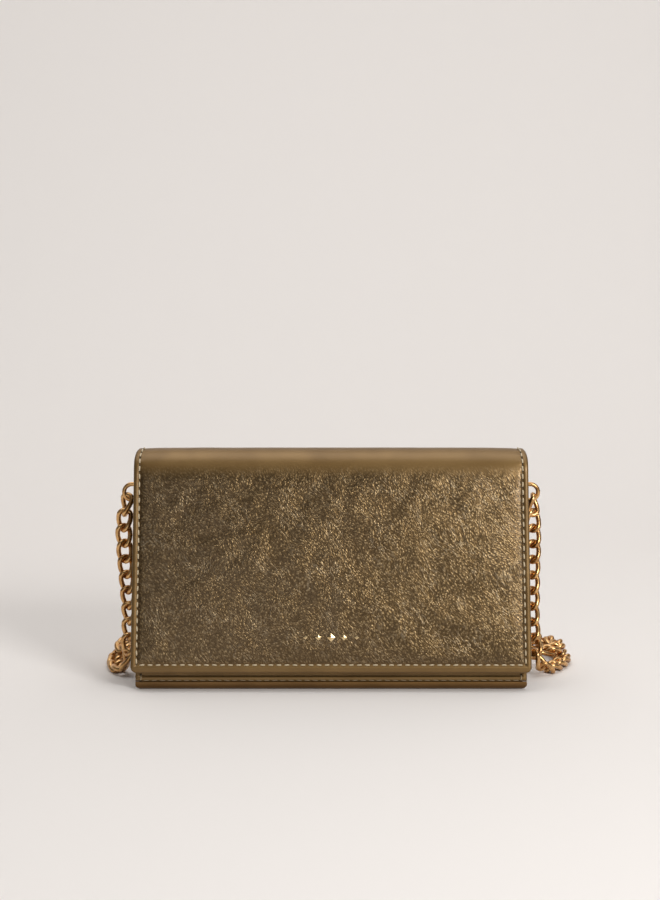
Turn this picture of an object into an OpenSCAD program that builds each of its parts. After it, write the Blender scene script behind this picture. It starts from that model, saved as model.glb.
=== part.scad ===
// Flap wallet on a chain.
// X runs across the front, Y from front to back, Z up. The origin is on the
// standing surface, below the middle of the object.

/* [Wallet] */
// Height over the crown
wallet_h = 120; // [112:1:130]
// Width of the body
body_w = 200; // [192:1:202]
// Depth at the base, with the closed flap
base_d = 48; // [46:1:54]
// Outer radius of the crown, where the flap turns over the top
crown_r = 13; // [12.5:0.25:14]
// Height of the front panel's top edge
front_top_z = 98; // [94:1:100]
// Height of the gussets
gusset_h = 92; // [86:1:92]
// How far each gusset folds inward
gusset_fold = 12; // [8:1:13]

/* [Flap] */
// Width of the flap at its lower edge
flap_w = 204; // [200:1:208]
// Width of the flap where it leaves the crown
flap_top_w = 202; // [198:1:203]
// Height of the flap's lower edge
flap_foot_z = 10; // [7:0.5:12]
// Space between the closed flap and the front panel
flap_gap = 3; // [3:0.1:3.6]
// Radius of the flap's lower corners
flap_corner_r = 3; // [2:0.5:6]

/* [Leather] */
// Thickness of the outer leather
leather_t = 1.4; // [1.2:0.1:1.6]
// Thickness of the stiffening board
board_t = 0.8; // [0.7:0.1:1]
// Thickness of the lining leather
lining_t = 0.8; // [0.6:0.1:0.9]

/* [Pockets] */
// Width of the pockets and card slots
pocket_w = 166; // [150:2:166]
// Height of the zip pocket's wall
zip_wall_z = 88; // [84:1:88]
// Space inside the zip pocket, front to back
zip_pocket_gap = 4.8; // [4.6:0.1:5]
// Step between the tops of two card slots
card_step = 10; // [8:1:12]

/* [Zip] */
// Distance between two teeth of one row
tooth_pitch = 3; // [3:0.1:3.4]
// Half the length of the row of teeth
teeth_half = 72; // [60:3:72]
// Length of the puller from its pin
puller_len = 13; // [10:0.5:13]

/* [Hardware] */
// Radius of the D-rings' wire
ring_wire_r = 1.1; // [0.9:0.05:1.15]
// Radius of the D-rings' round side, at the middle of the wire
ring_r = 4.2; // [4.2:0.1:4.6]
// Length of the D-rings' straight legs
ring_leg = 2.6; // [2:0.1:3]
// Height of the middle of the D-rings
ring_z = 96; // [95.5:0.25:97]
// Radius of the magnetic snap
snap_r = 7; // [6.5:0.25:8]

/* [Chain] */
// Width of the chain's links
chain_w = 9; // [8.6:0.1:9]
// Thickness of the chain lying flat
chain_t = 4.8; // [4:0.1:4.8]

/* [Hidden] */

$fn = 64;
eps = 0.01;
slack = 0.05;

// The walls: leather, board and lining.
wall_t = leather_t + board_t + lining_t;
board_inset = 3;
lining_inset = 2;
back_y = base_d / 2;
back_in_y = back_y - wall_t;

// The crown is an arc about this centre, from the back panel to the flap.
crown_y = back_y - crown_r;
crown_z = wallet_h - crown_r;

// The flap's outer face lies on the line from its foot that touches the crown.
foot_y = -base_d / 2;
foot_to_crown = [crown_y - foot_y, crown_z - flap_foot_z];
flap_lean = atan(foot_to_crown[0] / foot_to_crown[1])
    - asin(crown_r / norm(foot_to_crown));
flap_len = sqrt(pow(norm(foot_to_crown), 2) - crown_r * crown_r);

// The crown bends at three hinges, each taking a third of its turn. The axis
// that keeps the leather's length lies just outside the outer surface.
crown_turn = 180 - flap_lean;
hinge_turn = crown_turn / 3;
split_gap = 0.7;
split_1 = hinge_turn / 2;
split_2 = split_1 + hinge_turn;
split_3 = split_2 + hinge_turn;

// Depths behind the flap's outer face.
front_depth = wall_t + flap_gap;
front_in_depth = front_depth + wall_t;

// Base: a leather trough round the lower edges of the panels.
base_corner_r = 3;
base_lip_z = 4.4;
floor_z = wall_t;
seam_gap = 0.1;

// Pockets stand side by side in front of the back lining.
zip_wall_t = 0.8;
zip_y = back_in_y - zip_pocket_gap / 2;
zip_wall_y = back_in_y - zip_pocket_gap - zip_wall_t;
card_t = 0.8;
card_space = 0.25;
card_top_z = 82;
slip_t = 0.8;
slip_space = 0.4;
slip_w = 160;
slip_top_v = 66;

// Zip: tapes folded over, teeth on their edges, a slider on the teeth.
tape_t = 0.5;
tape_drop = 9;
tape_top_z = zip_wall_z + 1;
tape_reach = 1.6;
tooth_w = 1.2;
tooth_len = 1.9;
tooth_h = 1.3;
tooth_mesh = 0.4;
stop_x = teeth_half + 4;
slider_x = teeth_half - 2;
slider_len = 9;
slider_w = 4.6;
slider_gap = 0.3;
plate_t = 1;
pin_r = 0.6;
pin_z = tape_top_z + tooth_h + slider_gap + plate_t + 1.3;
cheek_in = 1.3;
cheek_t = 0.6;
cheek_len = 2.4;
puller_t = 1;
puller_w = 4.2;
eye_r = 1.3;
running = 0.06;

// D-rings turn about a straight bar in a leather tab.
bar_x = body_w / 2 + 1.3;
tab_loop_r = 1.9;
bar_y = back_in_y - tab_loop_r;
tab_strap_t = 1.8;
tab_h = 6;
tab_end_x = 86;

// Magnetic snap, along the flap from its foot, and in depths behind its face.
snap_v = 30;
plate_depth = wall_t + 0.7;
socket_depth = plate_depth + 0.2;
stud_r = 2.5;
stud_depth = front_depth - 0.7;
socket_hole_r = 3.1;
post_r = 1.2;
post_hole_r = 1.3;
washer_r = 5;
washer_t = 0.5;
magnet_in_r = 3.7;
magnet_out_r = 6.2;
magnet_t = 1.4;

// Ornament: a row of lozenges, the middle one the largest.
ornament_v = 18;
ornament_sizes = [2.4, 3.4, 4.6, 3.4, 2.4];
ornament_pitch = 6.5;
ornament_t = 0.4;

// Chain: from the ring down to the standing surface, once round behind the
// corner, on over that turn, and along to the hank. The points are the middle
// of the chain.
route_left = [
    [-106.5, 19, 90.5], [-108.5, 18.5, 80], [-108, 17.5, 66], [-107, 16, 52],
    [-106, 14.5, 38], [-105.5, 12, 25], [-106, 9.5, 14], [-108, 9.5, 6.5],
    [-111, 14, 2.8], [-114, 22, 2.5], [-115.5, 32, 2.5], [-115.5, 43, 2.5],
    [-112, 54, 2.5], [-105, 62, 2.5], [-95, 65, 2.5], [-85.5, 60.5, 2.5],
    [-79.5, 52, 2.5], [-79.5, 42, 2.5], [-85.5, 33.5, 2.7], [-95, 30.5, 4.8],
    [-105, 33, 7.4], [-112, 40, 7.5], [-113, 50, 7.5], [-108, 60, 7.5],
    [-98, 65.5, 7.5], [-86, 66, 7.5], [-76, 66, 5], [-67, 66, 2.7], [-59, 66, 2.5]
];
route_right = [
    [105.5, 19, 90.5], [105.5, 18.5, 80], [105.5, 17.5, 66], [105, 16, 52],
    [105, 14.5, 38], [105, 12, 25], [106.5, 9.5, 14], [109.5, 9.5, 6.5],
    [114, 14, 2.8], [119, 22, 2.5], [123.5, 32, 2.5], [125, 43, 2.5],
    [122, 54, 2.5], [114, 62, 2.5], [104, 64.5, 2.5], [94, 61, 2.5],
    [87.5, 52.5, 2.5], [87.5, 42, 2.5], [94, 33.5, 2.7], [104, 30.5, 4.8],
    [114, 33, 7.4], [121.5, 40, 7.5], [122.5, 50, 7.5], [117, 60, 7.5],
    [107, 65.5, 7.5], [96, 66, 7.5], [84, 66, 7.5], [71, 66, 7.5], [59, 66, 7.5]
];
chain_sides = 8;
turn_high_z = 22;
turn_low_z = 6;

// Hank: two runs close together in the middle, with a wide loop at each end.
hank_y = 48;
hank_loop_x = 51.5;
hank_loop_r = 18 + chain_w / 2;
hank_waist = 10;
hank_neck_x = 18;
hank_low = 0.1;
hank_high = 9.9;
tie_w = 6;
tie_t = 0.8;

// ---------- helpers ----------

// Extrudes a drawing made in Y and Z across the width, centred on X = 0.
module across(width) {
    rotate([90, 0, 90]) translate([0, 0, -width / 2]) linear_extrude(width) children();
}

// A box between two corners.
module block(low, high) {
    translate(low) cube(high - low);
}

// Local X stays X, local Y runs up the flap, local Z points out of its face.
module on_flap() {
    translate([0, foot_y, flap_foot_z]) rotate([90 - flap_lean, 0, 0]) children();
}

// A drawing on the flap's plane, given thickness between two depths behind it.
module flap_layer(near, far) {
    on_flap() translate([0, 0, -far]) linear_extrude(far - near) children();
}

// A ring sector about the crown's centre, drawn in Y and Z.
module crown_sector(r_in, r_out, from, to) {
    reach = 2 * r_out;
    translate([crown_y, crown_z]) intersection() {
        difference() {
            circle(r_out);
            circle(r_in);
        }
        polygon([
            [0, 0],
            reach * [cos(from), sin(from)],
            reach * [cos((from + to) / 2), sin((from + to) / 2)],
            reach * [cos(to), sin(to)]
        ]);
    }
}

// Y of a plane parallel to the flap's face, at a height and a depth behind it.
function front_y(z, depth) =
    foot_y + depth / cos(flap_lean) + (z - flap_foot_z) * tan(flap_lean);

// How far up the flap a height is, at a depth behind its face.
function up_flap(z, depth) = (z - flap_foot_z + depth * sin(flap_lean)) / cos(flap_lean);

// Y of the centres of the base's rounded corners.
base_front_c = front_y(base_corner_r, front_depth) + base_corner_r / cos(flap_lean);
base_back_c = back_y - base_corner_r;

// ---------- back ----------

module back_leather() {
    color([0.45, 0.36, 0.22]) across(body_w) {
        translate([back_y - leather_t, base_lip_z + seam_gap])
            square([leather_t, crown_z - base_lip_z - seam_gap + eps]);
        crown_sector(crown_r - leather_t, crown_r, 0, split_1 - split_gap);
    }
}

module back_board() {
    color([0.75, 0.7, 0.6]) block(
        [-body_w / 2 + board_inset, back_y - leather_t - board_t, floor_z + slack],
        [body_w / 2 - board_inset, back_y - leather_t, crown_z - slack]
    );
}

module back_lining() {
    color([0.3, 0.22, 0.15]) across(body_w - 2 * lining_inset) {
        translate([back_in_y, floor_z + slack])
            square([lining_t, crown_z - floor_z - slack + eps]);
        crown_sector(crown_r - wall_t, crown_r - leather_t, 0, split_1 - split_gap);
    }
}

// ---------- base ----------

// The body's lower end, shrunk on all sides by an inset.
module base_outline(inset) {
    r = base_corner_r - inset;
    front_c = base_front_c;
    back_c = base_back_c;
    top = base_lip_z + 1;
    translate([front_c, base_corner_r]) circle(r);
    translate([back_c, base_corner_r]) circle(r);
    polygon([
        [front_c, inset],
        [back_c, inset],
        [back_c + r, base_corner_r],
        [back_c + r, top],
        [front_y(top, front_depth + inset), top],
        [front_c - r * cos(flap_lean), base_corner_r + r * sin(flap_lean)]
    ]);
}

module base_leather() {
    color([0.4, 0.31, 0.19]) across(body_w) intersection() {
        difference() {
            base_outline(0);
            base_outline(leather_t);
        }
        translate([foot_y, 0]) square([base_d, base_lip_z]);
    }
}

// A flat layer of the base between two heights, inside the trough's corners.
module base_layer(inset, low, high) {
    inner_r = base_corner_r - leather_t;
    reach = sqrt(max(0, inner_r * inner_r - pow(base_corner_r - low, 2))) - slack;
    block(
        [-body_w / 2 + inset, base_front_c - reach, low],
        [body_w / 2 - inset, base_back_c + reach, high]
    );
}

module base_board() {
    color([0.75, 0.7, 0.6]) base_layer(board_inset, leather_t, leather_t + board_t);
}

module base_lining() {
    color([0.3, 0.22, 0.15]) base_layer(lining_inset, leather_t + board_t, floor_z);
}

// ---------- front ----------

// A plate parallel to the closed flap, from a height up to the panel's top.
module front_plate(width, low_v, near, far) {
    top_v = up_flap(front_top_z, front_depth);
    flap_layer(near, far) translate([-width / 2, low_v]) square([width, top_v - low_v]);
}

// A round hole through the front panel or flap at the snap.
module snap_hole(r) {
    on_flap() translate([0, snap_v, -2 * front_in_depth])
        cylinder(r = r, h = 4 * front_in_depth);
}

module front_leather() {
    low_v = up_flap(base_lip_z + seam_gap, front_depth + leather_t);
    color([0.45, 0.36, 0.22]) difference() {
        front_plate(body_w, low_v, front_depth, front_depth + leather_t);
        snap_hole(post_hole_r);
    }
}

module front_board() {
    far = front_depth + leather_t + board_t;
    low_v = up_flap(floor_z + slack, far);
    color([0.75, 0.7, 0.6]) difference() {
        front_plate(body_w - 2 * board_inset, low_v, front_depth + leather_t, far);
        snap_hole(washer_r + slack);
    }
}

module front_lining() {
    low_v = up_flap(floor_z + slack, front_in_depth);
    color([0.3, 0.22, 0.15]) front_plate(
        body_w - 2 * lining_inset, low_v, front_in_depth - lining_t, front_in_depth
    );
}

module slip_pocket() {
    near = front_in_depth + slip_space;
    low_v = up_flap(floor_z + slack, near + slip_t);
    color([0.33, 0.25, 0.17]) flap_layer(near, near + slip_t)
        translate([-slip_w / 2, low_v]) square([slip_w, slip_top_v - low_v]);
}

// ---------- gussets ----------

// One slanting leg of a gusset, from the edge of a wall to the fold's apex.
module gusset_leg(low_edge, low_apex, high_edge, high_apex) {
    thin = [-1.3, 0];
    hull() {
        translate([0, 0, floor_z]) linear_extrude(eps)
            polygon([low_edge, low_apex, low_apex + thin, low_edge + thin]);
        translate([0, 0, gusset_h - eps]) linear_extrude(eps)
            polygon([high_edge, high_apex, high_apex + thin, high_edge + thin]);
    }
}

// The gusset of the +X side.
module gusset() {
    edge_x = body_w / 2 - lining_inset;
    apex_x = edge_x - gusset_fold;
    low_y = front_y(floor_z, front_in_depth) + slack;
    high_y = front_y(gusset_h, front_in_depth) + slack;
    back = back_in_y - slack;
    low_apex = [apex_x, (low_y + back) / 2];
    high_apex = [apex_x, (high_y + back) / 2];
    color([0.36, 0.28, 0.17]) {
        gusset_leg([edge_x, back], low_apex, [edge_x, back], high_apex);
        gusset_leg([edge_x, low_y], low_apex, [edge_x, high_y], high_apex);
    }
}

module gusset_left() {
    mirror([1, 0, 0]) gusset();
}

module gusset_right() {
    gusset();
}

// ---------- zip pocket and card slots ----------

module zip_pocket_wall() {
    color([0.33, 0.25, 0.17]) block(
        [-pocket_w / 2, zip_wall_y, floor_z],
        [pocket_w / 2, zip_wall_y + zip_wall_t, zip_wall_z]
    );
}

// A tape that hangs on one wall and turns over towards the teeth.
module zip_tape(wall_y, inward) {
    length = 2 * stop_x + 6;
    color([0.25, 0.19, 0.13]) across(length) translate([wall_y, tape_top_z]) {
        scale([inward, 1]) translate([0, -tape_drop]) square([tape_t, tape_drop]);
        scale([inward, 1]) translate([0, -tape_t]) square([tape_reach, tape_t]);
    }
}

module zip_tape_front() {
    zip_tape(zip_wall_y + zip_wall_t, 1);
}

module zip_tape_back() {
    zip_tape(back_in_y, -1);
}

module zip_teeth() {
    color([0.75, 0.6, 0.35]) for (x = [-teeth_half : tooth_pitch : teeth_half]) {
        translate([x, zip_y - tooth_len + tooth_mesh, tape_top_z])
            cube([tooth_w, tooth_len, tooth_h]);
        translate([x + tooth_pitch / 2, zip_y - tooth_mesh, tape_top_z])
            cube([tooth_w, tooth_len, tooth_h]);
    }
}

module zip_stops() {
    color([0.75, 0.6, 0.35]) for (side = [-1, 1])
        translate([side * stop_x - 1, zip_y - 1.7, tape_top_z]) cube([2, 3.4, 1.5]);
}

module zip_slider() {
    plate_z = tape_top_z + tooth_h + slider_gap;
    side_y = tooth_len - tooth_mesh + 0.2;
    color([0.75, 0.6, 0.35]) translate([slider_x, zip_y, 0]) {
        block([-slider_len / 2, -slider_w / 2, plate_z],
            [slider_len / 2, slider_w / 2, plate_z + plate_t]);
        for (side = [0, 1]) mirror([0, side, 0]) {
            block([-slider_len / 2, side_y, tape_top_z + 0.2],
                [slider_len / 2, slider_w / 2, plate_z + eps]);
            block([-cheek_len / 2, cheek_in, plate_z + plate_t - eps],
                [cheek_len / 2, cheek_in + cheek_t, pin_z + 0.9]);
        }
        translate([0, 0, pin_z]) rotate([90, 0, 0])
            cylinder(r = pin_r, h = 2 * cheek_in + cheek_t, center = true);
    }
}

module zip_puller() {
    eye_w = 2 * cheek_in - 0.2;
    color([0.78, 0.62, 0.36]) translate([slider_x, zip_y, pin_z]) difference() {
        union() {
            rotate([90, 0, 0]) cylinder(r = eye_r, h = eye_w, center = true);
            block([-3, -eye_w / 2, -puller_t / 2], [0, eye_w / 2, puller_t / 2]);
            block([-puller_len + puller_w / 2, -puller_w / 2, -puller_t / 2],
                [-2.5, puller_w / 2, puller_t / 2]);
            translate([-puller_len + puller_w / 2, 0, -puller_t / 2])
                cylinder(d = puller_w, h = puller_t);
        }
        rotate([90, 0, 0]) cylinder(r = pin_r + running, h = 2 * puller_w, center = true);
    }
}

// Card slot number i, counted from the tallest at the back.
module card_slot(i) {
    y = zip_wall_y - (i - 1) * (card_t + card_space) - card_space;
    color([0.33, 0.25, 0.17]) block(
        [-pocket_w / 2, y - card_t, floor_z],
        [pocket_w / 2, y, card_top_z - (i - 1) * card_step]
    );
}

// ---------- D-rings and their tabs ----------

module tab(side) {
    color([0.45, 0.36, 0.22]) translate([0, 0, ring_z - tab_h / 2]) linear_extrude(tab_h)
        scale([side, 1]) difference() {
            union() {
                translate([bar_x, bar_y]) circle(tab_loop_r);
                translate([tab_end_x, back_in_y - tab_strap_t])
                    square([bar_x - tab_end_x, tab_strap_t]);
            }
            translate([bar_x, bar_y]) circle(ring_wire_r + running);
        }
}

module d_ring(side) {
    color([0.72, 0.52, 0.28]) mirror([side < 0 ? 1 : 0, 0, 0])
        translate([bar_x, bar_y, ring_z]) {
            cylinder(r = ring_wire_r, h = 2 * ring_r, center = true);
            for (end = [-1, 1]) translate([0, 0, end * ring_r]) {
                sphere(ring_wire_r);
                rotate([0, 90, 0]) cylinder(r = ring_wire_r, h = ring_leg);
            }
            translate([ring_leg, 0, 0]) rotate([90, 0, 0]) rotate([0, 0, -90])
                rotate_extrude(angle = 180) translate([ring_r, 0]) circle(ring_wire_r);
        }
}

// ---------- magnetic snap ----------

// A round piece on the snap's axis, between two depths behind the flap's face.
module snap_disc(r, near, far) {
    on_flap() translate([0, snap_v, -far]) cylinder(r = r, h = far - near);
}

module snap_socket() {
    color([0.8, 0.65, 0.4]) difference() {
        union() {
            snap_disc(snap_r, socket_depth, front_depth);
            snap_disc(post_r, front_depth - eps, front_depth + leather_t + washer_t);
        }
        snap_disc(socket_hole_r, socket_depth - 1, front_depth - 0.5);
        difference() {
            snap_disc(magnet_out_r + slack, front_depth - magnet_t - slack, front_depth + eps);
            snap_disc(magnet_in_r - slack, socket_depth, front_depth + 1);
        }
    }
}

module snap_magnet() {
    color([0.2, 0.2, 0.22]) difference() {
        snap_disc(magnet_out_r, front_depth - magnet_t, front_depth);
        snap_disc(magnet_in_r, socket_depth, front_depth + 1);
    }
}

module snap_socket_washer() {
    near = front_depth + leather_t;
    color([0.7, 0.7, 0.72]) difference() {
        snap_disc(washer_r, near, near + washer_t);
        snap_disc(post_hole_r, near - 1, near + 1);
    }
}

module snap_stud() {
    color([0.8, 0.65, 0.4]) {
        snap_disc(snap_r, wall_t, plate_depth);
        snap_disc(stud_r, plate_depth - eps, stud_depth);
        snap_disc(post_r, wall_t - lining_t - washer_t, wall_t + eps);
    }
}

module snap_stud_washer() {
    far = wall_t - lining_t;
    color([0.7, 0.7, 0.72]) difference() {
        snap_disc(washer_r, far - washer_t, far);
        snap_disc(post_hole_r, far - 1, far + 1);
    }
}

// ---------- crown and flap ----------

module crown_strip(width, r_in, r_out, from, to) {
    across(width) crown_sector(r_in, r_out, from + split_gap, to - split_gap);
}

module crown_rear_leather() {
    color([0.45, 0.36, 0.22])
        crown_strip(body_w, crown_r - leather_t, crown_r, split_1, split_2);
}

module crown_rear_lining() {
    color([0.3, 0.22, 0.15]) crown_strip(
        body_w - 2 * lining_inset, crown_r - wall_t, crown_r - leather_t, split_1, split_2
    );
}

module crown_front_leather() {
    color([0.45, 0.36, 0.22])
        crown_strip(body_w, crown_r - leather_t, crown_r, split_2, split_3);
}

module crown_front_lining() {
    color([0.3, 0.22, 0.15]) crown_strip(
        body_w - 2 * lining_inset, crown_r - wall_t, crown_r - leather_t, split_2, split_3
    );
}

// The flap's flat stretch in Y and Z, between two depths behind its face. It
// runs on below the foot, where the silhouette cuts it level.
module flap_flat(near, far) {
    translate([foot_y, flap_foot_z]) rotate(-flap_lean) translate([near, -wall_t])
        square([far - near, flap_len + wall_t + eps]);
}

// The flap's last part of the crown's arc in Y and Z, between two depths.
module flap_arc(near, far) {
    crown_sector(crown_r - far, crown_r - near, split_3 + split_gap, crown_turn);
}

// Everything inside the flap's outline from the front, less an inset.
module flap_silhouette(inset) {
    r = flap_corner_r;
    half = flap_w / 2 - inset;
    top_half = flap_top_w / 2 - inset;
    foot = flap_foot_z + inset;
    rotate([90, 0, 0]) linear_extrude(2 * base_d, center = true) {
        for (side = [-1, 1]) translate([side * (half - r), foot + r]) circle(r);
        polygon([
            [-half + r, foot], [half - r, foot], [half, foot + r],
            [top_half, crown_z], [top_half, wallet_h + 1],
            [-top_half, wallet_h + 1], [-top_half, crown_z], [-half, foot + r]
        ]);
    }
}

module flap_leather() {
    color([0.45, 0.36, 0.22]) intersection() {
        across(2 * flap_w) {
            flap_flat(0, leather_t);
            flap_arc(0, leather_t);
        }
        flap_silhouette(0);
    }
}

module flap_board() {
    color([0.75, 0.7, 0.6]) difference() {
        intersection() {
            across(2 * flap_w) flap_flat(leather_t, leather_t + board_t);
            flap_silhouette(board_inset);
        }
        snap_hole(washer_r + slack);
    }
}

module flap_lining() {
    color([0.3, 0.22, 0.15]) difference() {
        intersection() {
            across(2 * flap_w) {
                flap_flat(leather_t + board_t, wall_t);
                flap_arc(leather_t, wall_t);
            }
            flap_silhouette(lining_inset);
        }
        snap_hole(post_hole_r);
    }
}

module flap_ornament() {
    middle = (len(ornament_sizes) - 1) / 2;
    color([0.9, 0.78, 0.5]) flap_layer(-ornament_t, 0)
        for (i = [0 : len(ornament_sizes) - 1])
            translate([(i - middle) * ornament_pitch, ornament_v]) rotate(45)
                square(ornament_sizes[i] / sqrt(2), center = true);
}

// ---------- chain ----------

function unit(v) = v / norm(v);

// The direction of the route at point i.
function heading(route, i) =
    unit(route[min(i + 1, len(route) - 1)] - route[max(i - 1, 0)]);

// The chain hangs with its flat side to the front and lies flat on the surface.
// It turns over between two heights.
function lying(z) = min(1, max(0, (turn_high_z - z) / (turn_high_z - turn_low_z)));
function flat_side(z) = unit([0, 1 - lying(z), lying(z)]);

// The flat section's points about point i of the route.
function section(route, i) =
    let (
        along = heading(route, i),
        wide = unit(cross(along, flat_side(route[i][2]))),
        thick = cross(wide, along)
    )
    [for (k = [0 : chain_sides - 1])
        let (a = 360 * (k + 0.5) / chain_sides)
        route[i] + wide * (chain_w / 2 * cos(a)) + thick * (chain_t / 2 * sin(a))];

// One closed tube through the sections of a route.
module chain_tube(route) {
    last = len(route) - 1;
    n = chain_sides;
    points = [for (i = [0 : last]) each section(route, i)];
    walls = [for (i = [0 : last - 1], k = [0 : n - 1])
        [i * n + k, i * n + (k + 1) % n, (i + 1) * n + (k + 1) % n, (i + 1) * n + k]];
    near_end = [for (k = [n - 1 : -1 : 0]) k];
    far_end = [for (k = [0 : n - 1]) last * n + k];
    polyhedron(points, concat([near_end], walls, [far_end]));
}

module chain_left() {
    color([0.72, 0.52, 0.28]) chain_tube(route_left);
}

module chain_right() {
    color([0.72, 0.52, 0.28]) chain_tube(route_right);
}

module chain_hank() {
    color([0.72, 0.52, 0.28]) difference() {
        translate([0, 0, hank_low]) linear_extrude(hank_high - hank_low) {
            for (side = [-1, 1]) translate([side * hank_loop_x, hank_y]) circle(hank_loop_r);
            translate([0, hank_y]) polygon([
                [-hank_loop_x, hank_loop_r], [-hank_neck_x, hank_waist],
                [hank_neck_x, hank_waist], [hank_loop_x, hank_loop_r],
                [hank_loop_x, -hank_loop_r], [hank_neck_x, -hank_waist],
                [-hank_neck_x, -hank_waist], [-hank_loop_x, -hank_loop_r]
            ]);
        }
        block([-tie_w / 2 - 0.2, hank_y - hank_waist - 1, -1],
            [tie_w / 2 + 0.2, hank_y + hank_waist + 1, tie_t + 0.1]);
    }
}

module chain_tie() {
    half = hank_waist + 0.1;
    color([0.2, 0.16, 0.12]) across(tie_w) difference() {
        translate([hank_y - half - tie_t, 0])
            square([2 * (half + tie_t), hank_high + 0.1 + tie_t]);
        translate([hank_y - half, tie_t]) square([2 * half, hank_high + 0.1 - tie_t]);
    }
}

back_leather();
back_board();
back_lining();
base_leather();
base_board();
base_lining();
front_leather();
front_board();
front_lining();
slip_pocket();
gusset_left();
gusset_right();
zip_pocket_wall();
zip_tape_front();
zip_tape_back();
zip_teeth();
zip_stops();
zip_slider();
zip_puller();
card_slot(1);  // card_slot_1
card_slot(2);  // card_slot_2
card_slot(3);  // card_slot_3
card_slot(4);  // card_slot_4
tab(-1);  // tab_left
tab(1);  // tab_right
d_ring(-1);  // d_ring_left
d_ring(1);  // d_ring_right
snap_socket();
snap_magnet();
snap_socket_washer();
snap_stud();
snap_stud_washer();
crown_rear_leather();
crown_rear_lining();
crown_front_leather();
crown_front_lining();
flap_leather();
flap_board();
flap_lining();
flap_ornament();
chain_left();
chain_right();
chain_hank();
chain_tie();
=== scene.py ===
"""A flap wallet on a chain: leather, stitching, lining, hardware and chain.

Shapes are worked out in millimetres in the part's own frame (X across the
front, Y to the back, Z up) and scaled to metres where a mesh is made.
"""

import math
import random

import bpy
import numpy as np
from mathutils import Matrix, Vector, noise


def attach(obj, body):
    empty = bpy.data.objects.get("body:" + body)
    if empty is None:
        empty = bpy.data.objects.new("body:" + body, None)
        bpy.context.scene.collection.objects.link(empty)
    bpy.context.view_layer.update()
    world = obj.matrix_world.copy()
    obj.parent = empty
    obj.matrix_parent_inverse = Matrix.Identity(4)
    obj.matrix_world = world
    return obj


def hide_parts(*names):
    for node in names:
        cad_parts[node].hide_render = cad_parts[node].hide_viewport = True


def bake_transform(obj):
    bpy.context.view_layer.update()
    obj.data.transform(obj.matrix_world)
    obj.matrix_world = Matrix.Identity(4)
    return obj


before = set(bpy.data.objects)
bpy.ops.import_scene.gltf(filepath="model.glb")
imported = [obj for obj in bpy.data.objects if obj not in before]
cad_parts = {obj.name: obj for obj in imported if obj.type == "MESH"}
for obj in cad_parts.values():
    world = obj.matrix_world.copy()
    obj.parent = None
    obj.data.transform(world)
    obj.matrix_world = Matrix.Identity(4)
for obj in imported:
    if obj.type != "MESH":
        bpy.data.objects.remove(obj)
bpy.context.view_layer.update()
random.seed(7)

MM = 0.001

# The wallet, in millimetres.
WALLET_H = 120
BODY_W = 200
BASE_D = 48
CROWN_R = 13
CROWN_CORNER_R = 0.6
WALL_T = 3.0
SHELL_T = 2.2
LINING_T = 0.8
FLAP_W = 204
FLAP_TOP_W = 202
FLAP_FOOT_Z = 10
FLAP_CORNER_R = 3
FRONT_TOP_Z = 98
FRONT_DEPTH = 6.0
GUSSET_H = 92
BASE_LIP_Z = 4.4
BASE_CORNER_R = 3
INSIDE_Z = 3.1  # the inside's floor
RING_Z = 96
BACK_Y = BASE_D / 2
BACK_IN_Y = BACK_Y - WALL_T

# The crown's centre, and the straight line of the flap that touches it.
CROWN_Y = BACK_Y - CROWN_R
CROWN_Z = WALLET_H - CROWN_R
FOOT_Y = -BASE_D / 2
FOOT_REACH = math.hypot(CROWN_Y - FOOT_Y, CROWN_Z - FLAP_FOOT_Z)
LEAN = math.atan2(CROWN_Y - FOOT_Y, CROWN_Z - FLAP_FOOT_Z) - math.asin(CROWN_R / FOOT_REACH)
FLAP_LEN = math.sqrt(FOOT_REACH**2 - CROWN_R**2)
CROWN_TURN = math.pi - LEAN
HINGE_TURN = CROWN_TURN / 3

# Where the crown's arc starts and ends, along the strip from the back's foot.
ARC_START = CROWN_Z - BASE_LIP_Z
ARC_END = ARC_START + CROWN_R * CROWN_TURN

# Seams: how far the stitches are from an edge, and from each other.
SEAM = 3.0
FOOT_SEAM = 4.0
FACE_BULGE = 1.2
STITCH_PITCH = 4.1
STITCH_LEN = 3.0
HOLE_R = 0.34

# Distances from an edge, close together where it is rounded. Each seam is one of them.
EDGE_STEPS = (0, 0.06, 0.2, 0.42, 0.7, 1.05, 1.5, 2.0, 2.5, 3.0, 3.5, 4.0, 4.6, 5.4, 6.4)


# ---------- camera ----------


def add_camera():
    """Looks a little down on the front, from about a metre away."""
    distance, elevation, aim_z = 1.05, math.radians(8), 0.1209
    data = bpy.data.cameras.new("camera")
    data.lens = 82.1
    data.shift_x = -0.0012
    camera = bpy.data.objects.new("camera", data)
    bpy.context.scene.collection.objects.link(camera)
    camera.location = (0, -distance * math.cos(elevation), aim_z + distance * math.sin(elevation))
    camera.rotation_euler = (math.pi / 2 - elevation, 0, 0)
    bpy.context.scene.camera = camera


# ---------- materials ----------


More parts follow.
